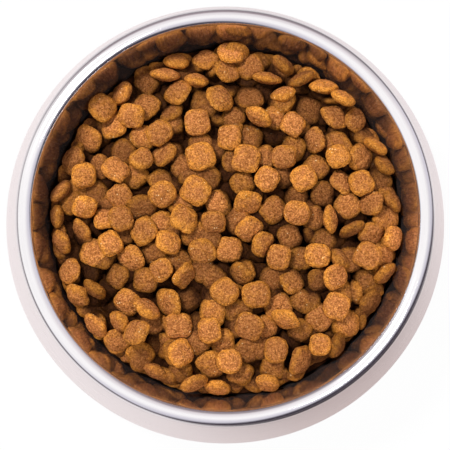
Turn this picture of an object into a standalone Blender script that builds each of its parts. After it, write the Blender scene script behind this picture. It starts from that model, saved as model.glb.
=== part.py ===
"""Pet food bowl filled with dry kibble.

A polished steel dish ends in a rolled rim. The rim grips the neck of a flared steel
skirt, and a rubber ring clips onto the skirt's inward flange as the foot. The heap of
kibble is one bed, whose pieces are grown together, with loose pieces lying on top.
Lengths are in metres, +Z is up, and the origin is the centre of the footprint.
"""

import math

import bmesh
import bpy
import numpy as np
from mathutils import Matrix, Vector
from mathutils.bvhtree import BVHTree

# Whole bowl
BOWL_HEIGHT = 0.058
RIM_RADIUS = 0.0905
BASE_OVERHANG = 0.0095
BASE_RADIUS = RIM_RADIUS + BASE_OVERHANG
SEGMENTS = 44
CLEARANCE = 0.0003
WELD = 1e-7
SMOOTH_SHEET = math.radians(40)
SMOOTH_KIBBLE = math.radians(25)

# Dish
DISH_SHEET = 0.0008
BEAD_RADIUS = 0.0038
BEAD_END_ANGLE = math.radians(-50)
WALL_LEAN = math.radians(10)
DISH_CORNER_RADIUS = 0.014
DISH_FLOOR_HEIGHT = 0.006

# Skirt
SKIRT_SHEET = 0.0007
NECK_DROP = 0.0012
NECK_BEND_RADIUS = 0.012
HEM_RADIUS = 0.0020
FLANGE_WIDTH = 0.0055

# Foot ring
FOOT_HEIGHT = 0.0026
FOOT_INSET = 0.0014
FOOT_WIDTH = 0.0085
GRIP_LIP_HEIGHT = 0.0015
GRIP_LIP_INSET = 0.0030
FOOT_CHAMFER = 0.0005

# Kibble pieces
KIBBLE_WIDTH = 0.0115
KIBBLE_WIDTH_SPREAD = 0.0011
KIBBLE_THICKNESS = 0.0056
KIBBLE_THICKNESS_SPREAD = 0.0006
LENGTH_SHARES = (0.90, 1.06)
CUT_CORNER_SHARES = (0.42, 0.60)
FACE_SHARE = 0.52

# Heap
HEAP_EDGE_DROP = 0.0250
HEAP_EDGE_HEIGHT = BOWL_HEIGHT - HEAP_EDGE_DROP
HEAP_RISE = 0.0085
BED_DEPTH = 0.0055
BED_RINGS = (0.85, 0.60, 0.35, 0.0)
BED_KIBBLES = 128
LOOSE_KIBBLES = 54
BOND_DEPTH = 0.0004
EDGE_SHARE = 0.85
SETTLE_STEP = 0.00005
SEED = 20

# Ways a piece can lie: the share of pieces up to each way, and its lean in degrees
WAYS_TO_LIE = (
    (0.52, 2, 20),
    (0.83, 22, 48),
    (1.00, 54, 78),
)

# Height map of the heap
GRID = 0.00025
COARSE = 3
DRAWS = 1500
EDGE_DRAW_STEP = 3
TRIES = 240
WINDOW_SHARE = 0.75
LEVEL = 1e-4

STEEL_POLISHED = ("polished_steel", (0.72, 0.71, 0.71), 0.10, 1.0)
STEEL_SATIN = ("satin_steel", (0.74, 0.72, 0.72), 0.32, 1.0)
RUBBER = ("black_rubber", (0.025, 0.025, 0.027), 0.75, 0.0)
KIBBLE = ("kibble", (0.36, 0.17, 0.07), 0.85, 0.0)

UP = Vector((0.0, 1.0))
OUTWARD = Vector((1.0, 0.0))


def clear_scene():
    """Take every object out of the open scene."""
    for item in list(bpy.data.objects):
        bpy.data.objects.remove(item, do_unlink=True)


def material(name, colour, roughness, metallic):
    """A Principled material in one colour."""
    made = bpy.data.materials.new(name)
    made.use_nodes = True
    shader = made.node_tree.nodes["Principled BSDF"]
    shader.inputs["Base Color"].default_value = (*colour, 1.0)
    shader.inputs["Roughness"].default_value = roughness
    shader.inputs["Metallic"].default_value = metallic
    made.diffuse_color = (*colour, 1.0)
    return made


def add_object(name, bm, finish, smooth_angle):
    """Turn a bmesh into a named object with its material, shaded smooth."""
    bmesh.ops.recalc_face_normals(bm, faces=bm.faces)
    mesh = bpy.data.meshes.new(name)
    bm.to_mesh(mesh)
    bm.free()
    mesh.materials.append(finish)
    mesh.shade_smooth()
    mesh.set_sharp_from_angle(angle=smooth_angle)
    made = bpy.data.objects.new(name, mesh)
    bpy.context.scene.collection.objects.link(made)
    return made


def arc(centre, radius, start, end, steps):
    """Points (r, z) along an arc, each with the direction to the left of travel."""
    side = 1 if end < start else -1
    points = []
    for step in range(steps + 1):
        angle = start + (end - start) * step / steps
        out = Vector((math.cos(angle), math.sin(angle)))
        points.append((Vector(centre) + out * radius, out * side))
    return points


def outline(path, distance):
    """The points of a path moved to its left by a distance."""
    return [tuple(point + left * distance) for point, left in path]


def sheet_section(path, thickness):
    """The closed section of a sheet whose middle follows the path."""
    return outline(path, thickness / 2) + list(reversed(outline(path, -thickness / 2)))


def revolve(section):
    """Spin a closed (r, z) section about the Z axis into a solid."""
    bm = bmesh.new()
    corners = [bm.verts.new((max(r, 0.0), 0.0, z)) for r, z in section]
    for here, after in zip(corners, corners[1:] + corners[:1]):
        if here.co.x > 0.0 or after.co.x > 0.0:
            bm.edges.new((here, after))
    bmesh.ops.spin(bm, geom=bm.verts[:] + bm.edges[:], cent=(0, 0, 0), axis=(0, 0, 1),
                   angle=2 * math.pi, steps=SEGMENTS, use_merge=True)
    bmesh.ops.remove_doubles(bm, verts=bm.verts, dist=WELD)
    bmesh.ops.dissolve_degenerate(bm, edges=bm.edges, dist=WELD)
    return bm


def bead_centre():
    """The centre (r, z) of the rolled rim's section."""
    return RIM_RADIUS - BEAD_RADIUS, BOWL_HEIGHT - BEAD_RADIUS


def wall_point(height):
    """Radius of the dish's inner wall at a height, on the straight lean of the wall."""
    centre_r, centre_z = bead_centre()
    touch_r = centre_r - BEAD_RADIUS * math.cos(WALL_LEAN)
    touch_z = centre_z + BEAD_RADIUS * math.sin(WALL_LEAN)
    return touch_r - (touch_z - height) * math.tan(WALL_LEAN)


def corner_centre():
    """Centre (r, z) of the dish's inner corner, tangent to floor and wall."""
    inner_floor = DISH_FLOOR_HEIGHT + DISH_SHEET
    height = inner_floor + DISH_CORNER_RADIUS
    return wall_point(height) - DISH_CORNER_RADIUS / math.cos(WALL_LEAN), height


def inner_radius(height):
    """Radius of the dish's inside at a height, through the corner and up the wall."""
    centre_r, centre_z = corner_centre()
    drop = centre_z - height
    if drop <= -DISH_CORNER_RADIUS * math.sin(WALL_LEAN):
        return wall_point(height)
    reach = max(DISH_CORNER_RADIUS ** 2 - drop ** 2, 0.0)
    return centre_r + math.sqrt(reach)


def dish(finish):
    """The polished dish: floor, rounded corner, leaning wall and rolled rim."""
    corner = corner_centre()
    middle_floor = DISH_FLOOR_HEIGHT + DISH_SHEET / 2
    middle_bead = BEAD_RADIUS - DISH_SHEET / 2
    path = [(Vector((0.0, middle_floor)), UP)]
    path += arc(corner, DISH_CORNER_RADIUS + DISH_SHEET / 2, -math.pi / 2, -WALL_LEAN, 3)
    path += arc(bead_centre(), middle_bead, math.pi - WALL_LEAN, math.pi / 2, 3)
    path += arc(bead_centre(), middle_bead, math.pi / 2, 0.0, 3)[1:]
    path += arc(bead_centre(), middle_bead, 0.0, BEAD_END_ANGLE, 2)[1:]
    return add_object("dish", revolve(sheet_section(path, DISH_SHEET)), finish, SMOOTH_SHEET)


def neck_radius():
    """Outer radius of the skirt's neck, just inside the end of the rolled rim."""
    hollow = BEAD_RADIUS - DISH_SHEET
    return bead_centre()[0] + hollow * math.cos(BEAD_END_ANGLE) - CLEARANCE


def neck_top():
    """Height of the neck's upper edge, just under the roof of the rolled rim."""
    centre_r, centre_z = bead_centre()
    hollow = BEAD_RADIUS - DISH_SHEET - CLEARANCE
    aside = neck_radius() - centre_r
    return centre_z + math.sqrt(max(hollow ** 2 - aside ** 2, 0.0))


def skirt(finish):
    """The flared outer shell: neck, bend, cone, rounded hem and inward flange."""
    half = SKIRT_SHEET / 2
    neck_r = neck_radius() - half
    bead_low = bead_centre()[1] + BEAD_RADIUS * math.sin(BEAD_END_ANGLE)
    bend_z = bead_low - NECK_DROP
    hem_r = BASE_RADIUS - HEM_RADIUS
    hem_z = FOOT_HEIGHT + HEM_RADIUS
    flare = math.atan2(hem_r - neck_r, bend_z - hem_z)
    bend_centre = (neck_r + NECK_BEND_RADIUS, bend_z)
    path = [(Vector((neck_r, neck_top())), OUTWARD)]
    path += arc(bend_centre, NECK_BEND_RADIUS, math.pi, math.pi + flare, 2)
    path += arc((hem_r, hem_z), HEM_RADIUS - half, flare, 0.0, 1)
    path += arc((hem_r, hem_z), HEM_RADIUS - half, 0.0, -math.pi / 2, 3)[1:]
    path += [(Vector((hem_r - FLANGE_WIDTH, FOOT_HEIGHT + half)), -UP)]
    return add_object("skirt", revolve(sheet_section(path, SKIRT_SHEET)), finish, SMOOTH_SHEET)


def base_ring(finish):
    """The rubber foot, with a groove that grips the skirt's flange."""
    outer = BASE_RADIUS - FOOT_INSET
    flange_edge = BASE_RADIUS - HEM_RADIUS - FLANGE_WIDTH
    groove_low = FOOT_HEIGHT - CLEARANCE
    groove_high = FOOT_HEIGHT + SKIRT_SHEET + CLEARANCE
    groove_r = flange_edge - CLEARANCE
    inner = outer - FOOT_WIDTH
    lip_outer = BASE_RADIUS - HEM_RADIUS - GRIP_LIP_INSET
    top = groove_high + GRIP_LIP_HEIGHT
    section = [
        (inner + FOOT_CHAMFER, 0.0),
        (outer - FOOT_CHAMFER, 0.0),
        (outer, FOOT_CHAMFER),
        (outer, groove_low),
        (groove_r, groove_low),
        (groove_r, groove_high),
        (lip_outer, groove_high),
        (lip_outer, top - FOOT_CHAMFER),
        (lip_outer - FOOT_CHAMFER, top),
        (inner, top),
        (inner, FOOT_CHAMFER),
    ]
    return add_object("base_ring", revolve(section), finish, SMOOTH_SHEET)


def heap_surface(radius):
    """Height of the heap's rounded outline above the foot, at a distance from the axis."""
    edge = inner_radius(HEAP_EDGE_HEIGHT)
    share = np.clip(np.asarray(radius) / edge, 0.0, 1.0)
    return HEAP_EDGE_HEIGHT + HEAP_RISE * (1.0 - share ** 2)


def kibble_mesh(width, length, thickness, squareness):
    """A pillow-shaped kibble: a rounded-square waist between two smaller flat faces."""
    bm = bmesh.new()
    for side_x in (-1, 1):
        for side_y in (-1, 1):
            x = side_x * width / 2
            y = side_y * length / 2
            bm.verts.new((x, y * squareness, 0.0))
            bm.verts.new((x * squareness, y, 0.0))
            for level in (-1, 1):
                bm.verts.new((x * FACE_SHARE, y * FACE_SHARE, level * thickness / 2))
    bmesh.ops.convex_hull(bm, input=bm.verts)
    bmesh.ops.recalc_face_normals(bm, faces=bm.faces)
    return bm


def draw_kibble(chance):
    """One piece's size, drawn around the usual kibble."""
    width = KIBBLE_WIDTH + KIBBLE_WIDTH_SPREAD * chance.uniform(-1, 1)
    length = width * chance.uniform(*LENGTH_SHARES)
    thickness = KIBBLE_THICKNESS + KIBBLE_THICKNESS_SPREAD * chance.uniform(-1, 1)
    return width, length, thickness, chance.uniform(*CUT_CORNER_SHARES)


def draw_turn(chance):
    """One piece's rotation: lying nearly flat, leaning, or standing on its edge."""
    kind = chance.uniform(0, 1)
    low, high = next(leans for share, *leans in WAYS_TO_LIE if kind <= share)
    lean = chance.uniform(low, high)
    heading = chance.uniform(0, 2 * math.pi)
    axis = Vector((math.cos(heading), math.sin(heading), 0.0))
    spin = Matrix.Rotation(chance.uniform(0, 2 * math.pi), 3, "Z")
    return Matrix.Rotation(math.radians(lean), 3, axis) @ spin


def in_dish(points):
    """True where every point lies inside the dish, clear of its wall."""
    flat = math.cos(math.pi / SEGMENTS)
    rooms = [inner_radius(point.z) * flat - CLEARANCE for point in points]
    return all(math.hypot(point.x, point.y) <= room for point, room in zip(points, rooms))


class Heap:
    """A height map of the heap, on which pieces come to rest one by one."""

    def __init__(self):
        self.count = int(math.ceil(inner_radius(BOWL_HEIGHT) / GRID))
        axis = np.arange(-self.count, self.count + 1) * GRID
        across, along = np.meshgrid(axis, axis, indexing="ij")
        self.height = heap_surface(np.hypot(across, along)) - BED_DEPTH
        self.window = int(math.ceil((KIBBLE_WIDTH + KIBBLE_WIDTH_SPREAD) * WINDOW_SHARE / GRID))
        local = np.arange(-self.window, self.window + 1) * GRID
        self.local_x, self.local_y = np.meshgrid(local, local, indexing="ij")

    def envelope(self, bm, turn, swell):
        """Lower and upper faces, over the cells, of a turned piece grown by the swell."""
        low = np.full(self.local_x.shape, -np.inf)
        high = np.full(self.local_x.shape, np.inf)
        for face in bm.faces:
            normal = turn @ face.normal
            reach = face.normal.dot(face.verts[0].co) + swell
            rest = reach - normal.x * self.local_x - normal.y * self.local_y
            if normal.z > LEVEL:
                high = np.minimum(high, rest / normal.z)
            elif normal.z < -LEVEL:
                low = np.maximum(low, rest / normal.z)
            else:
                high = np.where(rest < 0, -np.inf, high)
        outside = high <= low
        low[outside] = np.inf
        high[outside] = -np.inf
        return low, high

    def window_at(self, column, row):
        """The part of the map around one cell, or None past the map's border."""
        part = self.height[column - self.window:column + self.window + 1,
                           row - self.window:row + self.window + 1]
        return part if part.shape == self.local_x.shape else None

    def places(self, chance, low, reach):
        """Cells with the height at which the piece rests there, the deepest first."""
        radii = reach * np.sqrt(chance.uniform(0, 1, DRAWS))
        radii[::EDGE_DRAW_STEP] = reach
        angles = chance.uniform(0, 2 * math.pi, DRAWS)
        columns = np.rint(radii * np.cos(angles) / GRID).astype(int) + self.count
        rows = np.rint(radii * np.sin(angles) / GRID).astype(int) + self.count
        depth = self.height[columns, rows] - heap_surface(radii)
        found = []
        for number in np.argsort(depth, kind="stable")[:TRIES]:
            column, row = int(columns[number]), int(rows[number])
            part = self.window_at(column, row)
            if part is None:
                continue
            rest = float(np.max(part[::COARSE, ::COARSE] - low[::COARSE, ::COARSE]))
            found.append((rest - float(heap_surface(radii[number])), column, row))
        return sorted(found)

    def drop(self, chance, swell):
        """Try a piece in several places and leave it in the deepest hollow that fits it."""
        bm = kibble_mesh(*draw_kibble(chance))
        turn = draw_turn(chance)
        low, high = self.envelope(bm, turn, swell)
        corners = [turn @ vert.co for vert in bm.verts]
        span = max(math.hypot(corner.x, corner.y) for corner in corners)
        reach = inner_radius(HEAP_EDGE_HEIGHT) - span * EDGE_SHARE
        for _, column, row in self.places(chance, low, reach):
            part = self.window_at(column, row)
            rest = float(np.max(part - low))
            place = Vector(((column - self.count) * GRID, (row - self.count) * GRID, rest))
            if in_dish([corner + place for corner in corners]):
                part[:] = np.maximum(part, place.z + high)
                bm.transform(Matrix.Translation(place) @ turn.to_4x4())
                bm.normal_update()
                return bm
        bm.free()
        return None


def bed_core():
    """The closed mound under the visible pieces, filling the dish up to the heap."""
    gap = CLEARANCE / math.cos(math.pi / SEGMENTS)
    corner = corner_centre()
    low = DISH_FLOOR_HEIGHT + DISH_SHEET + CLEARANCE
    edge_z = float(heap_surface(inner_radius(HEAP_EDGE_HEIGHT))) - BED_DEPTH
    section = [(0.0, low)]
    section += outline(arc(corner, DISH_CORNER_RADIUS - gap, -math.pi / 2, -WALL_LEAN, 3), 0.0)
    section += [(inner_radius(edge_z) - gap, edge_z)]
    for share in BED_RINGS:
        radius = share * inner_radius(edge_z)
        section.append((radius, float(heap_surface(radius)) - BED_DEPTH))
    return revolve(section)


def island_faces(bm):
    """The faces of each connected shell of the mesh."""
    waiting = set(bm.faces)
    islands = []
    while waiting:
        island = []
        front = [waiting.pop()]
        while front:
            face = front.pop()
            island.append(face)
            for edge in face.edges:
                for neighbour in edge.link_faces:
                    if neighbour in waiting:
                        waiting.remove(neighbour)
                        front.append(neighbour)
        islands.append(island)
    return islands


def fuse(name, shells, finish):
    """Join overlapping shells into one closed solid and fill any sealed pocket."""
    bm = bmesh.new()
    for shell in shells:
        mesh = bpy.data.meshes.new("shell")
        bmesh.ops.recalc_face_normals(shell, faces=shell.faces)
        shell.to_mesh(mesh)
        bm.from_mesh(mesh)
        bpy.data.meshes.remove(mesh)
        shell.free()
    bmesh.ops.triangulate(bm, faces=bm.faces)
    made = add_object(name, bm, finish, SMOOTH_KIBBLE)
    blank = bpy.data.objects.new("blank", bpy.data.meshes.new("blank"))
    bpy.context.scene.collection.objects.link(blank)
    union = made.modifiers.new("union", "BOOLEAN")
    union.operation = "UNION"
    union.object = blank
    union.solver = "EXACT"
    union.use_self = True
    evaluated = made.evaluated_get(bpy.context.evaluated_depsgraph_get())
    joined = bmesh.new()
    joined.from_mesh(evaluated.to_mesh())
    evaluated.to_mesh_clear()
    bmesh.ops.remove_doubles(joined, verts=joined.verts, dist=WELD)
    islands = sorted(island_faces(joined), key=len)
    spare = [face for island in islands[:-1] for face in island]
    bmesh.ops.delete(joined, geom=spare, context="FACES")
    bmesh.ops.triangulate(joined, faces=joined.faces)
    made.modifiers.clear()
    joined.to_mesh(made.data)
    joined.free()
    bpy.data.objects.remove(blank, do_unlink=True)
    return made


def settle(piece, solids):
    """Raise a placed piece clear of the solids, then lower it until it all but touches."""
    centre = sum((vert.co for vert in piece.verts), Vector()) / len(piece.verts)
    swollen = piece.copy()
    for vert in swollen.verts:
        vert.co += (vert.co - centre).normalized() * CLEARANCE
    step = Vector((0.0, 0.0, SETTLE_STEP))

    def shift(move):
        bmesh.ops.translate(piece, verts=piece.verts, vec=move)
        bmesh.ops.translate(swollen, verts=swollen.verts, vec=move)

    def touches():
        tree = BVHTree.FromBMesh(swollen)
        return any(tree.overlap(solid) for solid in solids)

    while touches():
        shift(step)
    while not touches() and in_dish([vert.co for vert in piece.verts]):
        shift(-step)
    shift(step)
    swollen.free()
    return BVHTree.FromBMesh(piece)


def kibble_heap(finish):
    """The bed of grown-together pieces and the loose pieces that lie on it."""
    chance = np.random.default_rng(SEED)
    heap = Heap()
    shells = [bed_core()]
    for _ in range(BED_KIBBLES):
        piece = heap.drop(chance, -BOND_DEPTH)
        if piece is not None:
            shells.append(piece)
    bed = fuse("kibble_bed", shells, finish)
    ground = bmesh.new()
    ground.from_mesh(bed.data)
    solids = [BVHTree.FromBMesh(ground)]
    ground.free()
    apart = GRID * math.sqrt(0.5) + CLEARANCE / 2
    heap.height += BOND_DEPTH + apart
    for index in range(LOOSE_KIBBLES):
        piece = heap.drop(chance, apart)
        if piece is not None:
            solids.append(settle(piece, solids))
            add_object(f"kibble_{index + 1:02d}", piece, finish, SMOOTH_KIBBLE)


def main():
    clear_scene()
    dish(material(*STEEL_POLISHED))
    skirt(material(*STEEL_SATIN))
    base_ring(material(*RUBBER))
    kibble_heap(material(*KIBBLE))


main()
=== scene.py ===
"""Looks of the pet food bowl filled with dry kibble, seen from above on white.

The steel, the rubber and every piece of kibble are modelled again more finely in the
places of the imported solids. Lengths are in metres, in the frame of the solids.
"""
import math

import bmesh
import bpy
import numpy as np
from mathutils import Matrix, Vector, noise


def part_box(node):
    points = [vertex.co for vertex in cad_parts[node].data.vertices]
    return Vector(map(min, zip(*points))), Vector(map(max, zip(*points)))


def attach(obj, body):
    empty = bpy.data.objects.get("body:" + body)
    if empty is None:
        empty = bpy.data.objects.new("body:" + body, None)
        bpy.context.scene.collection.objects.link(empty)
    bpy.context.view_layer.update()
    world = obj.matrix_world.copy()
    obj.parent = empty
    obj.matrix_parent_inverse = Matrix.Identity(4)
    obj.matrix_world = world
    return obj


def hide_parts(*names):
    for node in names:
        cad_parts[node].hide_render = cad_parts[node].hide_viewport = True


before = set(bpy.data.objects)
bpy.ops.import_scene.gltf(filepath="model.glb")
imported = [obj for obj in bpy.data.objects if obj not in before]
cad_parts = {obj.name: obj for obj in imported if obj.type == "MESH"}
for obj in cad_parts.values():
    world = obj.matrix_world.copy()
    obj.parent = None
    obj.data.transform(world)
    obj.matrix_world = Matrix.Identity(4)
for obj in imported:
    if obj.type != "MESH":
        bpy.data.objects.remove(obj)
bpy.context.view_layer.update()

# Bowl sizes, as the solids have them
BOWL_HEIGHT = 0.058
RIM_RADIUS = 0.0905
BASE_OVERHANG = 0.0095
BASE_RADIUS = RIM_RADIUS + BASE_OVERHANG
SOLID_SEGMENTS = 44
CLEARANCE = 0.0003
DISH_SHEET = 0.0008
BEAD_RADIUS = 0.0038
BEAD_END_ANGLE = math.radians(-50)
WALL_LEAN = math.radians(10)
DISH_CORNER_RADIUS = 0.014
DISH_FLOOR_HEIGHT = 0.006
SKIRT_SHEET = 0.0007
NECK_DROP = 0.0012
NECK_BEND_RADIUS = 0.012
HEM_RADIUS = 0.0020
FLANGE_WIDTH = 0.0055
FOOT_HEIGHT = 0.0026
FOOT_INSET = 0.0014
FOOT_WIDTH = 0.0085
GRIP_LIP_HEIGHT = 0.0015
GRIP_LIP_INSET = 0.0030
FOOT_CHAMFER = 0.0005

# Kibble and heap, as the solids have them
KIBBLE_WIDTH = 0.0115
KIBBLE_WIDTH_SPREAD = 0.0011
KIBBLE_THICKNESS = 0.0056
KIBBLE_THICKNESS_SPREAD = 0.0006
LENGTH_SHARES = (0.90, 1.06)
CUT_CORNER_SHARES = (0.42, 0.60)
FACE_SHARE = 0.52
HEAP_EDGE_DROP = 0.0250
HEAP_EDGE_HEIGHT = BOWL_HEIGHT - HEAP_EDGE_DROP
HEAP_RISE = 0.0085
BED_DEPTH = 0.0055
BED_KIBBLES = 128
LOOSE_KIBBLES = 54
BOND_DEPTH = 0.0004
EDGE_SHARE = 0.85
SEED = 20
WAYS_TO_LIE = (
    (0.52, 2, 20),
    (0.83, 22, 48),
    (1.00, 54, 78),
)
GRID = 0.00025
COARSE = 3
DRAWS = 1500
EDGE_DRAW_STEP = 3
TRIES = 240
WINDOW_SHARE = 0.75
LEVEL = 1e-4

# The deeper layer in the bed's gaps, and the mound below it
FILLER_KIBBLES = 200
FILLER_DROP = 0.0038
EDGE_FILLERS = 64
EDGE_FILLER_LIFT = (-0.0010, 0.0014)
EDGE_TRIES = 12
FILLER_SEED = 7
MOUND_DROP = 0.0026

# Fineness of the modelled surfaces
ROUND_SEGMENTS = 256
FLOOR_STEPS = 8
CORNER_STEPS = 20
WALL_STEPS = 10
BEAD_STEPS = 44
NECK_STEPS = 4
BEND_STEPS = 8
CONE_STEPS = 12
HEM_STEPS = 16
FOOT_CORNER_STEPS = 4
MOUND_CORNER_STEPS = 12
MOUND_STEPS = 24
SHEET_EDGE_SHARE = 0.35
SHARP_ANGLE = math.radians(35)
MERGE_DISTANCE = 1e-7
SLIVER_LENGTH = 1e-8
KIBBLE_CELLS = 16
FILLER_CELLS = 7
BED_GROUP = 44

# Form of a detailed kibble: how square its outline and side are, and its lumps
CORNER_POWER = 2.3
CORNER_POWER_SLOPE = 3.0
CORNER_POWER_SPREAD = (0.0, 0.5)
EDGE_POWERS = (1.75, 2.25)
NOISE_OFFSET = 50
LUMP_SCALE = 210.0
LUMP_HEIGHT = 0.00060
GRAIN_SCALE = 620.0
GRAIN_HEIGHT = 0.00024
GRAIN_FALL = 0.7
GRAIN_STEP = 2.1
GRAIN_OCTAVES = 3

# Share of smooth skin, from a piece's middle outwards and from its side to its faces
SKIN_START = 0.50
SKIN_SLOPE = 1.9
SKIN_FACE_LIMIT = 1.35
SKIN_SHARE = 0.9
SKIN_SPREAD = (-0.25, 0.30)

# Tones of the pieces, from -1 dark to 1 pale: a random tone for each piece, lower on the lower
# layers and the mound as painted shade and higher on the loose pieces as painted light, and
# falling with the depth below the heap's outline as painted shade, except along the wall
BED_TONES_AND_SHADE = (-0.40, 0.72)
LOOSE_TONES_AND_LIGHT = (0.25, 0.95)
FILLER_TONES_AND_SHADE = (-0.45, 0.10)
MOUND_PAINTED_SHADE = -1.0
DEPTH_SHADE_DROP = 1.7
DEPTH_SHADE_START = 0.0002
DEPTH_SHADE_FULL = 0.0042
DEPTH_SHADE_WALL_MARGIN = 0.008
DEPTH_SHADE_MARGIN_START = 0.3

# Steel: colours, and the heights between which its colour changes, a painted shade that darkens
# the dish below its rolled rim and the skirt under the rim
POLISHED = (0.81, 0.785, 0.79)
POLISHED_SHADED_INSIDE = (0.62, 0.55, 0.55)
POLISHED_SHADE_HEIGHTS = (BOWL_HEIGHT - 2.4 * BEAD_RADIUS, BOWL_HEIGHT - BEAD_RADIUS)
POLISHED_ROUGHNESS = (0.07, 0.15)
POLISHED_SMEAR = 0.66
POLISHED_LINE_DEPTH = 0.000004
SATIN = (0.84, 0.785, 0.780)
SATIN_SHADED_UNDER_RIM = (0.68, 0.62, 0.63)
SATIN_SHADE_HEIGHTS = (0.0345, 0.0390)
SATIN_ROUGHNESS = (0.27, 0.38)
SATIN_SMEAR = 0.45
SATIN_LINE_DEPTH = 0.0000035
METALLIC = 0.95
SMEAR_TURN = 0.25
WORN_SHADE = (0.93, 0.93, 0.93)

# Steel's noises round the bowl, as (across, around, detail, roughness), and their ranges
POLISHING_LINES = (5200.0, 2.2, 5.0, 0.65)
LINE_RANGE = (0.30, 0.72)
LINE_BUMP = 0.35
WORN_PATCHES = (420.0, 5.0, 3.0, 0.6)
PATCH_RANGE = (0.32, 0.70)

# Rubber: colours, and noises as (scale, detail, roughness)
RUBBER = (0.016, 0.016, 0.017)
RUBBER_DUST = (0.040, 0.039, 0.039)
RUBBER_GRAIN = (2600.0, 4.0, 0.5)
DUST_PATCHES = (260.0, 3.0, 0.5)
DUST_RANGE = (0.42, 0.75)
RUBBER_ROUGHNESS = (0.62, 0.85)
RUBBER_BUMP = (0.5, 0.00008)

# Kibble: colours of the cut faces, of the skin round the side, and of specks and crumbs
FACE_DARK = (0.295, 0.100, 0.024)
FACE_PALE = (0.590, 0.228, 0.078)
SKIN_DARK = (0.395, 0.148, 0.022)
SKIN_PALE = (0.740, 0.294, 0.046)
DARK_SPECK = (0.105, 0.032, 0.007)
LIGHT_SPECK = (0.870, 0.435, 0.142)
CRUMB = (0.93, 0.74, 0.46)
# Painted shade and light: a piece's colour is multiplied towards the first tint where it is deep
# or low in the heap, and towards the second where it is pale or on top
DEEP_SHADE_TINT = (0.07, 0.055, 0.045)
PALE_AND_TOP_LIGHT_TINT = (1.24, 1.20, 1.08)

# Kibble's noises, as (scale, detail, roughness), with the ranges and shares they are used at
COARSE_GRAIN = (420.0, 4.0, 0.6)
MIDDLE_GRAIN = (850.0, 3.0, 0.7)
FINE_GRAIN = (1500.0, 2.0, 0.7)
BROAD_PATCHES = (150.0, 2.0, 0.6)
CRUMB_PLACES = (300.0, 1.0, 0.6)
PIT_SCALE = 950.0
CRUMB_SCALE = 780.0
FACE_RANGE = (0.38, 0.62)
SKIN_RANGE = (0.34, 0.66)
MOTTLE = 1.6
BLEND_RANGE = (0.05, 0.95)
DARK_SPECK_RANGE = (0.50, 0.36)
DARK_SPECK_SHARE = 0.66
LIGHT_SPECK_RANGE = (0.57, 0.67)
LIGHT_SPECK_SHARE = 0.60
CRUMB_SIZE = 0.20
CRUMB_RARITY = 0.68
CRUMB_SHARE = 0.85
KIBBLE_ROUGHNESS = (0.86, 0.52)
KIBBLE_SPECULAR = 0.07
PIT_RANGE = (0.0, 0.40)
PIT_DEPTH = 0.7
MIDDLE_DEPTH = 1.3
FINE_DEPTH = 0.7
COARSE_DEPTH = 2.6
KIBBLE_BUMP = (1.0, 0.00034)

# Sides of the room that are dark and half dark, as directions on the floor
SHADE_SIDE = (math.cos(math.radians(-58)), math.sin(math.radians(-58)))
FAR_SIDE = (math.cos(math.radians(66)), math.sin(math.radians(66)))

# Floor, and the painted reflection it glows with for mirror rays, darker as painted shade on the
# shade side and far out: near the bowl, further out and at the horizon
WHITE = (1.0, 1.0, 1.0)
FLOOR_COLOUR = (0.90, 0.90, 0.90, 1.0)
FLOOR_ROUGHNESS = 0.9
FLOOR_SPECULAR = 0.1
FLOOR_RADIUS = 3.0
FLOOR_SEGMENTS = 96
FLOOR_HEIGHT = -0.0002
FLOOR_GLOW = 0.97
NEAR_FLOOR = (1.03, 0.98, 0.99)
NEAR_FLOOR_FAR_SIDE = (0.90, 0.85, 0.87)
NEAR_FLOOR_SHADE_SIDE = (0.70, 0.60, 0.59)
FAR_SIDE_POWER = 12.0
SHADE_SIDE_POWER = 7.0
OUTER_FLOOR = (0.88, 0.84, 0.86)
OUTER_FLOOR_SHADE = (0.030, 0.020, 0.028)
OUTER_SHADE_RANGE = (0.55, 0.95)
OUTER_DISTANCES = (0.114, 0.165)
HORIZON = (0.60, 0.57, 0.60)
HORIZON_SHADE = (0.10, 0.08, 0.10)
HORIZON_SHADE_RANGE = (-0.90, -0.20)
HORIZON_DISTANCES = (0.20, 0.38)

# Room: its even light, and its tones in mirrors. Ranges are of the share of a direction.
AMBIENT = (0.092, 0.092, 0.100)
AMBIENT_SHADE = (0.020, 0.020, 0.020)
AMBIENT_SINK = -0.6
AMBIENT_RANGE = (-0.9, 0.9)
ROOM = (1.16, 1.16, 1.17)
ROOM_FAR_SIDE = (0.88, 0.82, 0.86)
ROOM_FAR_RANGE = (0.10, 0.70)
ROOM_MIDDLE = (0.78, 0.76, 0.86)
ROOM_MIDDLE_RANGE = (-0.95, 0.12)
ROOM_BAND = (0.36, 0.30, 0.33)
BAND_SIDE_RANGE = (0.50, 0.85)
BAND_HEIGHT_RANGE = (-0.70, -0.45)
ROOM_DARK = (0.026, 0.016, 0.034)
DARK_PULL = 1.9
DARK_SINK = -1.2
DARK_RANGE = (0.44, 1.20)
LOW_RANGE = (-0.20, -0.04)
LOW_SHARE = 0.70

# Lamps, as (place, size, power)
KEY_LAMP = ((-0.47, 0.56, 1.27), 0.26, 23.0)
FILL_LAMP = ((0.42, -0.42, 1.28), 0.40, 8.5)

# Camera, from circles fitted to the base, the rim and the lip in the photograph
CAMERA_DISTANCE = 0.850
CAMERA_TILT = math.radians(3.50)
CAMERA_SIDE_TILT = math.radians(0.367)
CAMERA_TARGET = Vector((-0.00034, -0.00223, 0.030))
PHOTO_SIZE = 450
FOCAL_PIXELS = 1916.0
SENSOR_WIDTH = 36.0

# Sockets of the Mix node for colours
MIX_SHARE, MIX_FIRST, MIX_SECOND = 0, 6, 7
MIX_RESULT = 2

# Directions in a section's (r, z) plane, and down in the room
UP = Vector((0.0, 1.0))
OUTWARD = Vector((1.0, 0.0))
DOWN = (0.0, 0.0, -1.0)


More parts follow.
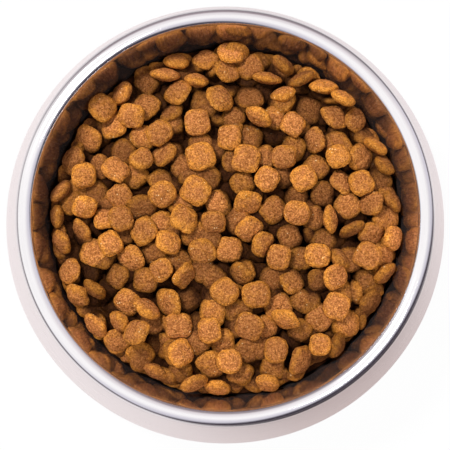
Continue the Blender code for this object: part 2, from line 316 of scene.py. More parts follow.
def node_graph(name):
    """A new material, with its node tree and its shader."""
    made = bpy.data.materials.new(name)
    made.use_nodes = True
    tree = made.node_tree
    return made, tree, tree.nodes["Principled BSDF"]


def add(tree, kind, **settings):
    """Add a node and set its properties, or its inputs where the name is an input's."""
    node = tree.nodes.new(kind)
    for name, value in settings.items():
        if hasattr(node, name):
            setattr(node, name, value)
        else:
            node.inputs[name.replace("_", " ").title()].default_value = value
    return node


def link(tree, source, target):
    """Join an output socket to an input socket."""
    tree.links.new(source, target)


def math_node(tree, operation, first, second=None):
    """A Math node over sockets or numbers, giving its output socket."""
    node = add(tree, "ShaderNodeMath", operation=operation)
    for index, value in enumerate((first, second)):
        if value is None:
            continue
        if isinstance(value, (int, float)):
            node.inputs[index].default_value = value
        else:
            link(tree, value, node.inputs[index])
    return node.outputs[0]


def times(tree, first, second):
    """The product of two sockets or numbers."""
    return math_node(tree, "MULTIPLY", first, second)


def plus(tree, first, second):
    """The sum of two sockets or numbers."""
    return math_node(tree, "ADD", first, second)


def mix_colour(tree, share, first, second, blend="MIX"):
    """Mix two colours or colour sockets by a socket or number."""
    node = add(tree, "ShaderNodeMix", data_type="RGBA", blend_type=blend)
    for index, value in ((MIX_SHARE, share), (MIX_FIRST, first), (MIX_SECOND, second)):
        if isinstance(value, (int, float)):
            node.inputs[index].default_value = value
        elif isinstance(value, tuple):
            node.inputs[index].default_value = (*value, 1.0)
        else:
            link(tree, value, node.inputs[index])
    return node.outputs[MIX_RESULT]


def ramp(tree, source, low, high):
    """A clamped 0 to 1 ramp of a value between two limits."""
    node = add(tree, "ShaderNodeMapRange", from_min=low, from_max=high)
    link(tree, source, node.inputs["Value"])
    return node.outputs["Result"]


def spread(tree, source, low, high):
    """A value's 0 to 1 stretched between two numbers."""
    node = add(tree, "ShaderNodeMapRange", to_min=low, to_max=high)
    link(tree, source, node.inputs["Value"])
    return node.outputs["Result"]


def toward(tree, vector, direction):
    """The share of a vector that points in a direction."""
    node = add(tree, "ShaderNodeVectorMath", operation="DOT_PRODUCT")
    link(tree, vector, node.inputs[0])
    node.inputs[1].default_value = direction
    return node.outputs["Value"]


def coordinates(tree, kind="Object"):
    """The place of the shaded point, or with Generated the direction in the room."""
    return add(tree, "ShaderNodeTexCoord").outputs[kind]


def axes(tree, vector):
    """The x, y and z sockets of a vector."""
    split = add(tree, "ShaderNodeSeparateXYZ")
    link(tree, vector, split.inputs[0])
    return split.outputs


def grain(tree, vector, scale, detail, roughness):
    """The value of a noise over a vector."""
    node = add(tree, "ShaderNodeTexNoise", scale=scale, detail=detail, roughness=roughness)
    link(tree, vector, node.inputs["Vector"])
    return node.outputs["Fac"]


def cells(tree, vector, scale):
    """The distance to the nearest point of a scatter."""
    node = add(tree, "ShaderNodeTexVoronoi", scale=scale, feature="F1")
    link(tree, vector, node.inputs["Vector"])
    return node.outputs["Distance"]


def raise_surface(tree, shader, height, strength, distance):
    """Bump the shader's surface by a height."""
    node = add(tree, "ShaderNodeBump", strength=strength, distance=distance)
    link(tree, height, node.inputs["Height"])
    link(tree, node.outputs[0], shader.inputs["Normal"])


def round_grain(tree, across, around, detail, roughness):
    """A noise that runs round the bowl: fine across the lines, long along them."""
    x, y, z = axes(tree, coordinates(tree))
    squares = plus(tree, math_node(tree, "POWER", x, 2.0), math_node(tree, "POWER", y, 2.0))
    turn = math_node(tree, "ARCTAN2", y, x)
    join = add(tree, "ShaderNodeCombineXYZ")
    link(tree, times(tree, math_node(tree, "SQRT", squares), across), join.inputs[0])
    link(tree, times(tree, z, across), join.inputs[1])
    link(tree, times(tree, math_node(tree, "SINE", turn), around), join.inputs[2])
    return grain(tree, join.outputs[0], 1.0, detail, roughness)


def steel(name, low_colour, high_colour, change, roughness, smear, line_depth):
    """Stainless steel with fine polishing lines round the bowl, with a painted shade by height."""
    made, tree, shader = node_graph(name)
    lines = round_grain(tree, *POLISHING_LINES)
    streaks = ramp(tree, lines, *LINE_RANGE)
    patches = ramp(tree, round_grain(tree, *WORN_PATCHES), *PATCH_RANGE)
    height = axes(tree, coordinates(tree))[2]
    # Painted shade: the steel takes one colour below the heights and the other above them
    plain = mix_colour(tree, ramp(tree, height, *change), low_colour, high_colour)
    darker = mix_colour(tree, 1.0, plain, WORN_SHADE, "MULTIPLY")
    tint = mix_colour(tree, patches, darker, plain)
    link(tree, mix_colour(tree, streaks, tint, plain), shader.inputs["Base Color"])
    rough = spread(tree, times(tree, streaks, patches), *roughness)
    link(tree, rough, shader.inputs["Roughness"])
    shader.inputs["Metallic"].default_value = METALLIC
    shader.inputs["Anisotropic"].default_value = smear
    shader.inputs["Anisotropic Rotation"].default_value = SMEAR_TURN
    tangent = add(tree, "ShaderNodeTangent", direction_type="RADIAL", axis="Z")
    link(tree, tangent.outputs[0], shader.inputs["Tangent"])
    raise_surface(tree, shader, lines, LINE_BUMP, line_depth)
    return made


def rubber():
    """Black rubber with a fine moulded grain."""
    made, tree, shader = node_graph("black_rubber")
    place = coordinates(tree)
    dust = grain(tree, place, *DUST_PATCHES)
    colour = mix_colour(tree, ramp(tree, dust, *DUST_RANGE), RUBBER, RUBBER_DUST)
    link(tree, colour, shader.inputs["Base Color"])
    link(tree, spread(tree, dust, *RUBBER_ROUGHNESS), shader.inputs["Roughness"])
    raise_surface(tree, shader, grain(tree, place, *RUBBER_GRAIN), *RUBBER_BUMP)
    return made


def kibble_look():
    """Baked kibble: porous mauve-brown cut faces and a smoother golden skin round the side."""
    made, tree, shader = node_graph("kibble")
    place = coordinates(tree)
    skin = add(tree, "ShaderNodeAttribute", attribute_name="skin").outputs["Fac"]
    tone = add(tree, "ShaderNodeAttribute", attribute_name="tone").outputs["Fac"]
    coarse = grain(tree, place, *COARSE_GRAIN)
    middle = grain(tree, place, *MIDDLE_GRAIN)
    fine = grain(tree, place, *FINE_GRAIN)
    broad = grain(tree, place, *BROAD_PATCHES)

    face = mix_colour(tree, ramp(tree, middle, *FACE_RANGE), FACE_DARK, FACE_PALE)
    side = mix_colour(tree, ramp(tree, coarse, *SKIN_RANGE), SKIN_DARK, SKIN_PALE)
    mottle = plus(tree, times(tree, coarse, MOTTLE), times(tree, broad, MOTTLE))
    edge = plus(tree, skin, math_node(tree, "SUBTRACT", mottle, MOTTLE))
    body = mix_colour(tree, ramp(tree, edge, *BLEND_RANGE), face, side)
    dark_share = times(tree, ramp(tree, fine, *DARK_SPECK_RANGE), DARK_SPECK_SHARE)
    body = mix_colour(tree, dark_share, body, DARK_SPECK)
    light_share = times(tree, ramp(tree, fine, *LIGHT_SPECK_RANGE), LIGHT_SPECK_SHARE)
    body = mix_colour(tree, light_share, body, LIGHT_SPECK)
    crumb = math_node(tree, "LESS_THAN", cells(tree, place, CRUMB_SCALE), CRUMB_SIZE)
    rare = math_node(tree, "GREATER_THAN", grain(tree, place, *CRUMB_PLACES), CRUMB_RARITY)
    body = mix_colour(tree, times(tree, times(tree, crumb, rare), CRUMB_SHARE), body, CRUMB)
    # Painted shade and painted light over each piece's random tone: darker deep in the heap, on
    # the lower layer and on the mound, paler on top
    tint = mix_colour(tree, ramp(tree, tone, -1.0, 1.0), DEEP_SHADE_TINT, PALE_AND_TOP_LIGHT_TINT)
    body = mix_colour(tree, 1.0, body, tint, "MULTIPLY")
    link(tree, body, shader.inputs["Base Color"])

    link(tree, spread(tree, edge, *KIBBLE_ROUGHNESS), shader.inputs["Roughness"])
    shader.inputs["Specular IOR Level"].default_value = KIBBLE_SPECULAR

    pits = ramp(tree, cells(tree, place, PIT_SCALE), *PIT_RANGE)
    height = plus(tree, times(tree, pits, PIT_DEPTH), times(tree, middle, MIDDLE_DEPTH))
    height = plus(tree, height, times(tree, fine, FINE_DEPTH))
    height = plus(tree, height, times(tree, coarse, COARSE_DEPTH))
    raise_surface(tree, shader, height, *KIBBLE_BUMP)
    return made


def arc(centre, radius, start, end, steps):
    """Points (r, z) along an arc, each with the direction to the left of travel."""
    side = 1 if end < start else -1
    points = []
    for step in range(steps + 1):
        angle = start + (end - start) * step / steps
        out = Vector((math.cos(angle), math.sin(angle)))
        points.append((Vector(centre) + out * radius, out * side))
    return points


def outline(path, distance):
    """The points of a path moved to its left by a distance."""
    return [tuple(point + left * distance) for point, left in path]


def straight(start, end, left, steps):
    """Points along a straight stretch, without its two ends."""
    shares = [step / steps for step in range(1, steps)]
    return [(Vector(start).lerp(Vector(end), share), left) for share in shares]


def sheet_section(path, thickness):
    """The closed section of a sheet whose middle follows the path, with a rounded end."""
    left = outline(path, thickness / 2)
    right = list(reversed(outline(path, -thickness / 2)))
    end_point, end_left = path[-1]
    ahead = Vector((end_left.y, -end_left.x))
    return left + [tuple(end_point + ahead * thickness * SHEET_EDGE_SHARE)] + right


def revolve(name, section, finish):
    """Spin a closed (r, z) section into a smooth round object."""
    count = len(section)
    turns = np.linspace(0.0, 2 * math.pi, ROUND_SEGMENTS, endpoint=False)
    radii = np.array([max(r, 0.0) for r, _ in section])
    heights = np.array([z for _, z in section])
    corners = np.stack([np.outer(np.cos(turns), radii), np.outer(np.sin(turns), radii),
                        np.tile(heights, (ROUND_SEGMENTS, 1))], axis=-1).reshape(-1, 3)
    faces = []
    for turn in range(ROUND_SEGMENTS):
        here = turn * count
        after = ((turn + 1) % ROUND_SEGMENTS) * count
        for index in range(count):
            ahead = (index + 1) % count
            if radii[index] == 0.0 and radii[ahead] == 0.0:
                continue
            faces.append((here + index, after + index, after + ahead, here + ahead))
    mesh = bpy.data.meshes.new(name)
    mesh.from_pydata(corners.tolist(), [], faces)
    bm = bmesh.new()
    bm.from_mesh(mesh)
    bmesh.ops.remove_doubles(bm, verts=bm.verts, dist=MERGE_DISTANCE)
    bmesh.ops.dissolve_degenerate(bm, edges=bm.edges, dist=SLIVER_LENGTH)
    bmesh.ops.recalc_face_normals(bm, faces=bm.faces)
    bm.to_mesh(mesh)
    bm.free()
    mesh.materials.append(finish)
    mesh.shade_smooth()
    mesh.set_sharp_from_angle(angle=SHARP_ANGLE)
    return place_object(name, mesh)


def place_object(name, data):
    """An object of a mesh, lamp or camera, put in the scene."""
    made = bpy.data.objects.new(name, data)
    bpy.context.scene.collection.objects.link(made)
    return made


def declare(piece, slot, *nodes):
    """Ride on the one body and stand for the nodes, which are hidden. The slot is not used."""
    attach(piece, "root")
    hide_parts(*nodes)


def bead_centre():
    """The centre (r, z) of the rolled rim's section."""
    return RIM_RADIUS - BEAD_RADIUS, BOWL_HEIGHT - BEAD_RADIUS


def wall_point(height):
    """Radius of the dish's inner wall at a height, on the straight lean of the wall."""
    centre_r, centre_z = bead_centre()
    touch_r = centre_r - BEAD_RADIUS * math.cos(WALL_LEAN)
    touch_z = centre_z + BEAD_RADIUS * math.sin(WALL_LEAN)
    return touch_r - (touch_z - height) * math.tan(WALL_LEAN)


def corner_centre():
    """Centre (r, z) of the dish's inner corner, tangent to floor and wall."""
    height = DISH_FLOOR_HEIGHT + DISH_SHEET + DISH_CORNER_RADIUS
    return wall_point(height) - DISH_CORNER_RADIUS / math.cos(WALL_LEAN), height


def inner_radius(height):
    """Radius of the dish's inside at a height, through the corner and up the wall."""
    centre_r, centre_z = corner_centre()
    drop = centre_z - height
    if drop <= -DISH_CORNER_RADIUS * math.sin(WALL_LEAN):
        return wall_point(height)
    reach = max(DISH_CORNER_RADIUS ** 2 - drop ** 2, 0.0)
    return centre_r + math.sqrt(reach)


def make_dish():
    """The polished dish: floor, rounded corner, leaning wall and rolled rim."""
    middle_floor = DISH_FLOOR_HEIGHT + DISH_SHEET / 2
    middle_corner = DISH_CORNER_RADIUS + DISH_SHEET / 2
    middle_bead = BEAD_RADIUS - DISH_SHEET / 2
    corner = arc(corner_centre(), middle_corner, -math.pi / 2, -WALL_LEAN, CORNER_STEPS)
    bead = arc(bead_centre(), middle_bead, math.pi - WALL_LEAN, BEAD_END_ANGLE, BEAD_STEPS)
    axis = (Vector((0.0, middle_floor)), UP)
    path = [axis]
    path += straight(axis[0], corner[0][0], UP, FLOOR_STEPS)
    path += corner
    path += straight(corner[-1][0], bead[0][0], corner[-1][1], WALL_STEPS)
    path += bead
    # Painted shade: the dish is darker below its rolled rim
    finish = steel("polished_steel", POLISHED_SHADED_INSIDE, POLISHED, POLISHED_SHADE_HEIGHTS,
                   POLISHED_ROUGHNESS, POLISHED_SMEAR, POLISHED_LINE_DEPTH)
    dish = revolve("steel_dish", sheet_section(path, DISH_SHEET), finish)
    declare(dish, "polished_steel", "dish")


def neck_radius():
    """Outer radius of the skirt's neck, just inside the end of the rolled rim."""
    hollow = BEAD_RADIUS - DISH_SHEET
    return bead_centre()[0] + hollow * math.cos(BEAD_END_ANGLE) - CLEARANCE


def neck_top():
    """Height of the neck's upper edge, just under the roof of the rolled rim."""
    centre_r, centre_z = bead_centre()
    hollow = BEAD_RADIUS - DISH_SHEET - CLEARANCE
    aside = neck_radius() - centre_r
    return centre_z + math.sqrt(max(hollow ** 2 - aside ** 2, 0.0))


def make_skirt():
    """The flared outer shell: neck, bend, cone, rounded hem and inward flange."""
    half = SKIRT_SHEET / 2
    neck_r = neck_radius() - half
    bend_z = bead_centre()[1] + BEAD_RADIUS * math.sin(BEAD_END_ANGLE) - NECK_DROP
    hem_r = BASE_RADIUS - HEM_RADIUS
    hem_z = FOOT_HEIGHT + HEM_RADIUS
    flare = math.atan2(hem_r - neck_r, bend_z - hem_z)
    top = (Vector((neck_r, neck_top())), OUTWARD)
    bend_centre = (neck_r + NECK_BEND_RADIUS, bend_z)
    bend = arc(bend_centre, NECK_BEND_RADIUS, math.pi, math.pi + flare, BEND_STEPS)
    hem = arc((hem_r, hem_z), HEM_RADIUS - half, flare, -math.pi / 2, HEM_STEPS)
    path = [top]
    path += straight(top[0], bend[0][0], OUTWARD, NECK_STEPS)
    path += bend
    path += straight(bend[-1][0], hem[0][0], hem[0][1], CONE_STEPS)
    path += hem
    path += [(Vector((hem_r - FLANGE_WIDTH, FOOT_HEIGHT + half)), -UP)]
    # Painted shade: the skirt is darker under the rolled rim
    finish = steel("satin_steel", SATIN, SATIN_SHADED_UNDER_RIM, SATIN_SHADE_HEIGHTS,
                   SATIN_ROUGHNESS, SATIN_SMEAR, SATIN_LINE_DEPTH)
    skirt = revolve("steel_skirt", sheet_section(path, SKIRT_SHEET), finish)
    declare(skirt, "satin_steel", "skirt")


def make_base_ring():
    """The rubber foot, with a groove that grips the skirt's flange and rounded edges."""
    outer = BASE_RADIUS - FOOT_INSET
    groove_low = FOOT_HEIGHT - CLEARANCE
    groove_high = FOOT_HEIGHT + SKIRT_SHEET + CLEARANCE
    groove_r = BASE_RADIUS - HEM_RADIUS - FLANGE_WIDTH - CLEARANCE
    inner = outer - FOOT_WIDTH
    lip_outer = BASE_RADIUS - HEM_RADIUS - GRIP_LIP_INSET
    top = groove_high + GRIP_LIP_HEIGHT
    soft = FOOT_CHAMFER

    def rounded(centre_r, centre_z, start):
        angles = math.radians(start), math.radians(start + 90)
        return outline(arc((centre_r, centre_z), soft, *angles, FOOT_CORNER_STEPS), 0.0)

    section = rounded(inner + soft, soft, 180)
    section += rounded(outer - soft, soft, 270)
    section += [(outer, groove_low), (groove_r, groove_low), (groove_r, groove_high)]
    section += [(lip_outer, groove_high)]
    section += rounded(lip_outer - soft, top - soft, 0)
    section += rounded(inner + soft, top - soft, 90)
    declare(revolve("rubber_foot", section, rubber()), "black_rubber", "base_ring")


def heap_surface(radius):
    """Height of the heap's rounded outline above the foot, at a distance from the axis."""
    edge = inner_radius(HEAP_EDGE_HEIGHT)
    share = np.clip(np.asarray(radius) / edge, 0.0, 1.0)
    return HEAP_EDGE_HEIGHT + HEAP_RISE * (1.0 - share ** 2)


def kibble_solid(width, length, thickness, squareness):
    """The plain solid of a kibble: a rounded-square waist between two flat faces."""
    bm = bmesh.new()
    for side_x in (-1, 1):
        for side_y in (-1, 1):
            x = side_x * width / 2
            y = side_y * length / 2
            bm.verts.new((x, y * squareness, 0.0))
            bm.verts.new((x * squareness, y, 0.0))
            for level in (-1, 1):
                bm.verts.new((x * FACE_SHARE, y * FACE_SHARE, level * thickness / 2))
    bmesh.ops.convex_hull(bm, input=bm.verts)
    bmesh.ops.recalc_face_normals(bm, faces=bm.faces)
    return bm


def draw_kibble(chance):
    """One piece's size, drawn around the usual kibble."""
    width = KIBBLE_WIDTH + KIBBLE_WIDTH_SPREAD * chance.uniform(-1, 1)
    length = width * chance.uniform(*LENGTH_SHARES)
    thickness = KIBBLE_THICKNESS + KIBBLE_THICKNESS_SPREAD * chance.uniform(-1, 1)
    return width, length, thickness, chance.uniform(*CUT_CORNER_SHARES)


def draw_turn(chance):
    """One piece's rotation: lying nearly flat, leaning, or standing on its edge."""
    kind = chance.uniform(0, 1)
    low, high = next(leans for share, *leans in WAYS_TO_LIE if kind <= share)
    lean = chance.uniform(low, high)
    heading = chance.uniform(0, 2 * math.pi)
    axis = Vector((math.cos(heading), math.sin(heading), 0.0))
    spin = Matrix.Rotation(chance.uniform(0, 2 * math.pi), 3, "Z")
    return Matrix.Rotation(math.radians(lean), 3, axis) @ spin


def in_dish(points):
    """True where every point lies inside the dish, clear of its wall."""
    flat = math.cos(math.pi / SOLID_SEGMENTS)
    rooms = [inner_radius(point.z) * flat - CLEARANCE for point in points]
    return all(math.hypot(point.x, point.y) <= room for point, room in zip(points, rooms))


class Heap:
    """A height map of the heap, on which pieces come to rest one by one."""

    def __init__(self, drop=0.0):
        self.count = int(math.ceil(inner_radius(BOWL_HEIGHT) / GRID))
        axis = np.arange(-self.count, self.count + 1) * GRID
        across, along = np.meshgrid(axis, axis, indexing="ij")
        self.height = heap_surface(np.hypot(across, along)) - BED_DEPTH - drop
        widest = KIBBLE_WIDTH + KIBBLE_WIDTH_SPREAD
        self.window = int(math.ceil(widest * WINDOW_SHARE / GRID))
        local = np.arange(-self.window, self.window + 1) * GRID
        self.local_x, self.local_y = np.meshgrid(local, local, indexing="ij")

    def envelope(self, bm, turn, swell):
        """Lower and upper faces, over the cells, of a turned piece grown by the swell."""
        low = np.full(self.local_x.shape, -np.inf)
        high = np.full(self.local_x.shape, np.inf)
        for face in bm.faces:
            normal = turn @ face.normal
            reach = face.normal.dot(face.verts[0].co) + swell
            rest = reach - normal.x * self.local_x - normal.y * self.local_y
            if normal.z > LEVEL:
                high = np.minimum(high, rest / normal.z)
            elif normal.z < -LEVEL:
                low = np.maximum(low, rest / normal.z)
            else:
                high = np.where(rest < 0, -np.inf, high)
        outside = high <= low
        low[outside] = np.inf
        high[outside] = -np.inf
        return low, high

    def window_at(self, column, row):
        """The part of the map around one cell, or None past the map's border."""
        part = self.height[column - self.window:column + self.window + 1,
                           row - self.window:row + self.window + 1]
        return part if part.shape == self.local_x.shape else None

    def places(self, chance, low, reach):
        """Cells with the height at which the piece rests there, the deepest first."""
        radii = reach * np.sqrt(chance.uniform(0, 1, DRAWS))
        radii[::EDGE_DRAW_STEP] = reach
        angles = chance.uniform(0, 2 * math.pi, DRAWS)
        columns = np.rint(radii * np.cos(angles) / GRID).astype(int) + self.count
        rows = np.rint(radii * np.sin(angles) / GRID).astype(int) + self.count
        depth = self.height[columns, rows] - heap_surface(radii)
        found = []
        for number in np.argsort(depth, kind="stable")[:TRIES]:
            column, row = int(columns[number]), int(rows[number])
            part = self.window_at(column, row)
            if part is None:
                continue
            rest = float(np.max(part[::COARSE, ::COARSE] - low[::COARSE, ::COARSE]))
            found.append((rest - float(heap_surface(radii[number])), column, row))
        return sorted(found)

    def drop(self, chance, swell):
        """Leave a piece in the deepest hollow that fits it, giving its size and pose."""
        size = draw_kibble(chance)
        bm = kibble_solid(*size)
        turn = draw_turn(chance)
        low, high = self.envelope(bm, turn, swell)
        corners = [turn @ vert.co for vert in bm.verts]
        bm.free()
        span = max(math.hypot(corner.x, corner.y) for corner in corners)
        reach = inner_radius(HEAP_EDGE_HEIGHT) - span * EDGE_SHARE
        for _, column, row in self.places(chance, low, reach):
            part = self.window_at(column, row)
            rest = float(np.max(part - low))
            place = Vector(((column - self.count) * GRID, (row - self.count) * GRID, rest))
            if in_dish([corner + place for corner in corners]):
                part[:] = np.maximum(part, rest + high)
                return size, turn, place, min(corner.z for corner in corners)
        return None


def cube_ball(count):
    """Directions and four-sided faces of a ball made of six gridded squares."""
    line = np.tan(np.linspace(-math.pi / 4, math.pi / 4, count + 1))
    first, second = np.meshgrid(line, line, indexing="ij")
    one = np.ones_like(first)
    sides = []
    for sign in (-1.0, 1.0):
        sides += [(sign * one, first, sign * second), (sign * second, sign * one, first),
                  (first, sign * second, sign * one)]
    points = np.concatenate([np.stack(side, axis=-1).reshape(-1, 3) for side in sides])
    points /= np.linalg.norm(points, axis=1, keepdims=True)
    _, index, back = np.unique(np.round(points, 6), axis=0, return_index=True, return_inverse=True)
    back = back.reshape(-1)
    faces = []
    stride = count + 1
    for side in range(len(sides)):
        for row in range(count):
            for column in range(count):
                base = side * stride * stride + row * stride + column
                loop = (base, base + stride, base + stride + 1, base + 1)
                faces.append([back[corner] for corner in loop])
    points = points[index]
    faces = np.array(faces)
    start, ahead, across = (points[faces[:, corner]] for corner in range(3))
    normals = np.cross(ahead - start, across - start)
    inward = np.einsum("ij,ij->i", normals, points[faces].mean(axis=1)) < 0
    faces[inward] = faces[inward][:, ::-1]
    return points, faces


def kibble_surface(ball, size, chance):
    """A detailed kibble about its centre, with the share of smooth skin at each point."""
    width, length, thickness, squareness = size
    half = np.array([width, length, thickness]) / 2
    corner_power = (CORNER_POWER + CORNER_POWER_SLOPE * (squareness - CUT_CORNER_SHARES[0])
                    + chance.uniform(*CORNER_POWER_SPREAD))
    edge_power = chance.uniform(*EDGE_POWERS)
    share = np.abs(ball) / half
    flat = (share[:, 0] ** corner_power + share[:, 1] ** corner_power) ** (1.0 / corner_power)
    reach = (flat ** edge_power + share[:, 2] ** edge_power) ** (-1.0 / edge_power)
    points = ball * reach[:, None]
    offset = Vector(chance.uniform(-NOISE_OFFSET, NOISE_OFFSET, 3))
    lumps = np.empty(len(points))
    for index, point in enumerate(points):
        place = Vector(point)
        broad = noise.noise(place * LUMP_SCALE + offset)
        small = noise.fractal(place * GRAIN_SCALE + offset, GRAIN_FALL, GRAIN_STEP, GRAIN_OCTAVES)
        lumps[index] = broad * LUMP_HEIGHT + small * GRAIN_HEIGHT
    points = points + ball * lumps[:, None]
    rise = np.abs(points[:, 2]) / half[2]
    out = np.hypot(points[:, 0] / half[0], points[:, 1] / half[1])
    skin = (np.clip((out - SKIN_START) * SKIN_SLOPE, 0.0, 1.0)
            * np.clip(SKIN_FACE_LIMIT - rise, 0.0, 1.0))
    return points, skin * SKIN_SHARE + chance.uniform(*SKIN_SPREAD)


def depth_shade(points):
    """The painted shade of each point for its depth in the heap, from 0 to 1."""
    radii = np.hypot(points[:, 0], points[:, 1])
    room = inner_radius(HEAP_EDGE_HEIGHT) - radii
    inside = np.clip(room / DEPTH_SHADE_WALL_MARGIN - DEPTH_SHADE_MARGIN_START, 0.0, 1.0)
    depth = heap_surface(radii) - points[:, 2]
    return np.clip((depth - DEPTH_SHADE_START) / DEPTH_SHADE_FULL, 0.0, 1.0) * inside


def kibble_object(name, ball, faces, pieces, chance, finish, tone_range):
    """One object of detailed kibbles, each from its size, rotation and centre."""
    corners = []
    loops = []
    skins = []
    tones = []
    for size, turn, place in pieces:
        points, skin = kibble_surface(ball, size, chance)
        points = points @ np.array(turn).T + np.array(place)
        loops.append(faces + sum(len(part) for part in corners))
        corners.append(points)
        skins.append(skin)
        # Each piece's random tone, lowered by a painted shade for each point's depth in the heap
        tones.append(chance.uniform(*tone_range) - DEPTH_SHADE_DROP * depth_shade(points))
    mesh = bpy.data.meshes.new(name)
    mesh.from_pydata(np.concatenate(corners).tolist(), [], np.concatenate(loops).tolist())
    for title, values in (("skin", skins), ("tone", tones)):
        layer = mesh.attributes.new(title, "FLOAT", "POINT")
        layer.data.foreach_set("value", np.concatenate(values))
    mesh.materials.append(finish)
    mesh.shade_smooth()
    return place_object(name, mesh)


def make_kibble():
    """The heap: the bed's pieces, the loose pieces on top, and the lower layer and mound."""
    finish = kibble_look()
    chance = np.random.default_rng(SEED)
    heap = Heap()
    bed = []
    for _ in range(BED_KIBBLES):
        found = heap.drop(chance, -BOND_DEPTH)
        if found:
            bed.append(found[:3])
    apart = GRID * math.sqrt(0.5) + CLEARANCE / 2
    heap.height += BOND_DEPTH + apart
    loose = []
    for index in range(LOOSE_KIBBLES):
        found = heap.drop(chance, apart)
        if found:
            loose.append((f"kibble_{index + 1:02d}", found))
    ball, faces = cube_ball(KIBBLE_CELLS)
    form_chance = np.random.default_rng(SEED + 1)
    for number, start in enumerate(range(0, len(bed), BED_GROUP)):
        pieces = bed[start:start + BED_GROUP]
        # The bed's tones are partly painted shade, below the loose pieces
        group = kibble_object(f"bed_kibble_{number + 1}", ball, faces, pieces,
                              form_chance, finish, BED_TONES_AND_SHADE)
        declare(group, "kibble", "kibble_bed")
    for node, (size, turn, place, lowest) in loose:
        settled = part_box(node)[0][2] - lowest
        pose = (size, turn, Vector((place.x, place.y, settled)))
        # The loose pieces' paler tones are partly painted light on the top layer
        piece = kibble_object(f"top_{node}", ball, faces, [pose], form_chance, finish, LOOSE_TONES_AND_LIGHT)
        declare(piece, "kibble", node)
    make_fillers(finish)
    make_mound(finish)


def edge_filler(chance, angle):
    """A piece that leans on the dish's wall at the foot of the heap, or None."""
    size = draw_kibble(chance)
    bm = kibble_solid(*size)
    turn = draw_turn(chance)
    corners = [turn @ vert.co for vert in bm.verts]
    bm.free()
    out = Vector((math.cos(angle), math.sin(angle), 0.0))
    height = HEAP_EDGE_HEIGHT - BED_DEPTH + chance.uniform(*EDGE_FILLER_LIFT)
    radius = inner_radius(height) - max(corner.dot(out) for corner in corners)
    for attempt in range(EDGE_TRIES):
        place = out * (radius - attempt * CLEARANCE) + Vector((0.0, 0.0, height))
        if in_dish([corner + place for corner in corners]):
            return size, turn, place
    return None


def make_fillers(finish):
    """A lower layer that shows in the gaps between the bed's pieces and along the wall."""
    chance = np.random.default_rng(FILLER_SEED)
    heap = Heap(FILLER_DROP)
    pieces = []
    for _ in range(FILLER_KIBBLES):
        found = heap.drop(chance, -2 * BOND_DEPTH)
        if found:
            pieces.append(found[:3])
    for number in range(EDGE_FILLERS):
        found = edge_filler(chance, 2 * math.pi * (number + chance.uniform(0, 1)) / EDGE_FILLERS)
        if found:
            pieces.append(found)
    ball, faces = cube_ball(FILLER_CELLS)
    # The lower layer takes darker tones, a painted shade in the gaps
    piece = kibble_object("lower_kibble", ball, faces, pieces, chance, finish, FILLER_TONES_AND_SHADE)
    declare(piece, "kibble", "kibble_bed")


def make_mound(finish):
    """The mass of kibble under the visible pieces, down to the dish's floor."""
    gap = CLEARANCE * 2
    low = DISH_FLOOR_HEIGHT + DISH_SHEET + CLEARANCE
    depth = BED_DEPTH + MOUND_DROP
    edge_z = HEAP_EDGE_HEIGHT - depth
    corner_radius = DISH_CORNER_RADIUS - gap
    corner = arc(corner_centre(), corner_radius, -math.pi / 2, -WALL_LEAN, MOUND_CORNER_STEPS)
    section = [(0.0, low)]
    section += outline(corner, 0.0)
    section += [(inner_radius(edge_z) - gap, edge_z)]
    for step in range(1, MOUND_STEPS + 1):
        radius = (1.0 - step / MOUND_STEPS) * inner_radius(edge_z)
        section.append((radius, float(heap_surface(radius)) - depth))
    mound = revolve("kibble_mound", section, finish)
    # The mound takes the darkest tone, a painted shade under the pieces
    tone = mound.data.attributes.new("tone", "FLOAT", "POINT")
    tone.data.foreach_set("value", np.full(len(mound.data.vertices), MOUND_PAINTED_SHADE))
    declare(mound, "kibble", "kibble_bed")


def painted_floor_reflection(tree):
    """The painted reflection that the floor glows with for mirror rays, with painted shade by
    direction and distance from the bowl.
    """
    place = coordinates(tree)
    unit = add(tree, "ShaderNodeVectorMath", operation="NORMALIZE")
    link(tree, place, unit.inputs[0])
    length = add(tree, "ShaderNodeVectorMath", operation="LENGTH")
    link(tree, place, length.inputs[0])
    distance = length.outputs["Value"]
    shade = toward(tree, unit.outputs[0], (*SHADE_SIDE, 0.0))
    far = toward(tree, unit.outputs[0], (*FAR_SIDE, 0.0))
    far_share = math_node(tree, "POWER", ramp(tree, far, -1.0, 1.0), FAR_SIDE_POWER)
    shade_share = math_node(tree, "POWER", ramp(tree, shade, -1.0, 1.0), SHADE_SIDE_POWER)
    near = mix_colour(tree, far_share, NEAR_FLOOR, NEAR_FLOOR_FAR_SIDE)
    near = mix_colour(tree, shade_share, near, NEAR_FLOOR_SHADE_SIDE)
    outer_share = ramp(tree, shade, *OUTER_SHADE_RANGE)
    outer = mix_colour(tree, outer_share, OUTER_FLOOR, OUTER_FLOOR_SHADE)
    horizon_share = ramp(tree, shade, *HORIZON_SHADE_RANGE)
    horizon = mix_colour(tree, horizon_share, HORIZON, HORIZON_SHADE)
    toned = mix_colour(tree, ramp(tree, distance, *OUTER_DISTANCES), near, outer)
    return mix_colour(tree, ramp(tree, distance, *HORIZON_DISTANCES), toned, horizon)


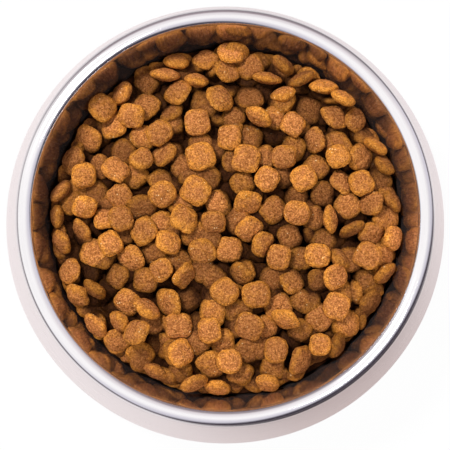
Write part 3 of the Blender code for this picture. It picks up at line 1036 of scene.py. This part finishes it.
def make_floor():
    """A plain white floor with the bowl's soft shadow, which glows for mirror rays with a darker
    painted reflection.
    """
    made, tree, shader = node_graph("white_floor")
    shader.inputs["Base Color"].default_value = FLOOR_COLOUR
    shader.inputs["Roughness"].default_value = FLOOR_ROUGHNESS
    shader.inputs["Specular IOR Level"].default_value = FLOOR_SPECULAR
    rays = add(tree, "ShaderNodeLightPath").outputs
    glow = add(tree, "ShaderNodeEmission")
    seen = mix_colour(tree, rays["Is Camera Ray"], painted_floor_reflection(tree), WHITE)
    link(tree, seen, glow.inputs["Color"])
    # Painted reflection: mirror rays see only the glow, not the lit floor
    share = plus(tree, times(tree, rays["Is Camera Ray"], FLOOR_GLOW), rays["Is Glossy Ray"])
    blend = add(tree, "ShaderNodeMixShader")
    link(tree, share, blend.inputs[0])
    link(tree, shader.outputs[0], blend.inputs[1])
    link(tree, glow.outputs[0], blend.inputs[2])
    link(tree, blend.outputs[0], tree.nodes["Material Output"].inputs[0])
    bm = bmesh.new()
    bmesh.ops.create_circle(bm, cap_ends=True, radius=FLOOR_RADIUS, segments=FLOOR_SEGMENTS)
    mesh = bpy.data.meshes.new("floor")
    bm.to_mesh(mesh)
    bm.free()
    mesh.materials.append(made)
    floor = place_object("floor", mesh)
    floor.location.z = FLOOR_HEIGHT


def mirrored_room(tree, direction, down):
    """The room's tones in mirrors: white, dim on its far side, dark low on its shade side."""
    across, along = SHADE_SIDE
    side = toward(tree, direction, (DARK_PULL * across, DARK_PULL * along, DARK_SINK))
    far = ramp(tree, toward(tree, direction, (*FAR_SIDE, 0.0)), *ROOM_FAR_RANGE)
    bright = mix_colour(tree, far, ROOM, ROOM_FAR_SIDE)
    bright = mix_colour(tree, ramp(tree, side, *ROOM_MIDDLE_RANGE), bright, ROOM_MIDDLE)
    behind = ramp(tree, toward(tree, direction, (0.0, 1.0, 0.0)), *BAND_SIDE_RANGE)
    band = times(tree, behind, ramp(tree, down, *BAND_HEIGHT_RANGE))
    bright = mix_colour(tree, band, bright, ROOM_BAND)
    low = times(tree, ramp(tree, down, *LOW_RANGE), LOW_SHARE)
    dark = math_node(tree, "MAXIMUM", ramp(tree, side, *DARK_RANGE), low)
    return mix_colour(tree, dark, bright, ROOM_DARK)


def make_light():
    """Soft light from the upper left and a weaker fill, in a white room."""
    world = bpy.data.worlds.new("room")
    bpy.context.scene.world = world
    world.use_nodes = True
    tree = world.node_tree
    back = tree.nodes["Background"]
    direction = coordinates(tree, "Generated")
    down = toward(tree, direction, DOWN)
    shade = ramp(tree, toward(tree, direction, (*SHADE_SIDE, AMBIENT_SINK)), *AMBIENT_RANGE)
    ambient = mix_colour(tree, shade, AMBIENT, AMBIENT_SHADE)
    rays = add(tree, "ShaderNodeLightPath").outputs
    mirrored = mirrored_room(tree, direction, down)
    room = mix_colour(tree, rays["Is Glossy Ray"], ambient, mirrored)
    seen = mix_colour(tree, rays["Is Camera Ray"], room, WHITE)
    link(tree, seen, back.inputs["Color"])
    back.inputs["Strength"].default_value = 1.0
    add_lamp("key", *KEY_LAMP)
    add_lamp("fill", *FILL_LAMP)


def add_lamp(name, place, size, power):
    """A square soft lamp that faces the bowl."""
    lamp = bpy.data.lights.new(name, "AREA")
    lamp.shape = "SQUARE"
    lamp.size = size
    lamp.energy = power
    made = place_object(name, lamp)
    made.location = place
    made.rotation_euler = (-Vector(place)).to_track_quat("-Z", "Y").to_euler()


def make_camera():
    """The photograph's view, nearly straight down."""
    lens = bpy.data.cameras.new("camera")
    lens.sensor_width = SENSOR_WIDTH
    lens.lens = FOCAL_PIXELS / PHOTO_SIZE * SENSOR_WIDTH
    camera = place_object("camera", lens)
    back = Vector((-math.sin(CAMERA_SIDE_TILT), -math.sin(CAMERA_TILT), 1.0)).normalized()
    camera.location = CAMERA_TARGET + back * CAMERA_DISTANCE
    camera.rotation_euler = (-back).to_track_quat("-Z", "Y").to_euler()
    bpy.context.scene.camera = camera
    bpy.context.scene.view_settings.view_transform = "Standard"


make_camera()
make_floor()
make_light()
make_dish()
make_skirt()
make_base_ring()
make_kibble()
